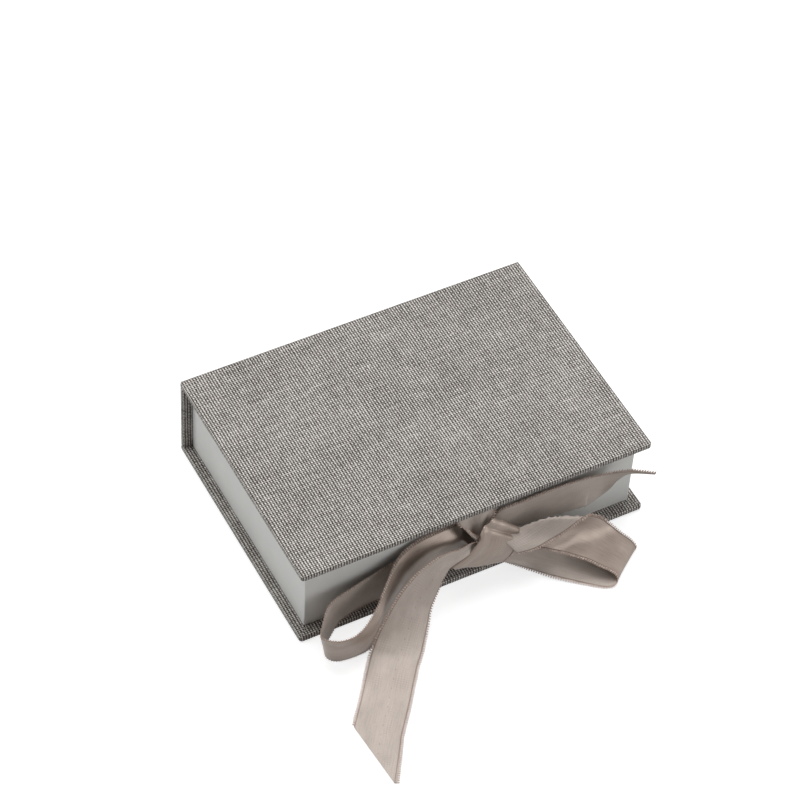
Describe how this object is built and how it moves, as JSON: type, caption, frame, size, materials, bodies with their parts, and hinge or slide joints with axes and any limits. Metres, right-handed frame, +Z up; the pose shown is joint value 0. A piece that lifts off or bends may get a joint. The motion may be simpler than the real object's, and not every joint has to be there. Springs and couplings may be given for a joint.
{
  "type": "book-style presentation box",
  "caption": "Cloth-covered clamshell box with a paper-covered tray on its base, a lid hinged on the spine cloth, and a satin ribbon bow at the fore edge.",
  "frame": {"origin": "centre of the underside", "axes": "+X along the spine, +Y from the fore edge to the spine, +Z up"},
  "size_m": [0.17, 0.2017, 0.0455],
  "materials": {
    "bookcloth": "woven grey melange linen book cloth",
    "greyboard": "raw grey bookbinding board",
    "card": "thin infill card",
    "tray_paper": "smooth light grey covering paper",
    "lining_paper": "smooth light grey lining paper",
    "satin": "taupe satin ribbon with picot edges"
  },
  "bodies": {
    "root": {"base_board": "greyboard", "base_cloth": "bookcloth", "base_infill": "card", "base_ribbon_anchor": "satin", "base_ribbon_lead": "satin", "bow_knot": "satin", "left_loop": "satin", "right_loop": "satin", "long_tail": "satin", "short_tail": "satin", "spine_board": "greyboard", "spine_cloth": "bookcloth", "hinge_cloth": "bookcloth", "tray_front_wall": "greyboard", "tray_back_wall": "greyboard", "tray_left_wall": "greyboard", "tray_right_wall": "greyboard", "tray_floor_board": "greyboard", "tray_wrap": "tray_paper", "tray_wall_lining": "tray_paper", "tray_floor_lining": "tray_paper"},
    "lid": {"lid_board": "greyboard", "lid_cloth": "bookcloth", "lid_infill": "card", "lid_lining": "lining_paper", "lid_ribbon_anchor": "satin", "lid_ribbon_lead": "satin"}
  },
  "joints": [
    {"name": "lid_hinge", "type": "hinge", "parent": "root", "child": "lid", "pos_m": [0, 0.06015, 0.04215], "axis": [-1, 0, 0], "range_deg": [0, 180], "deforming": ["hinge_cloth"]}
  ]
}
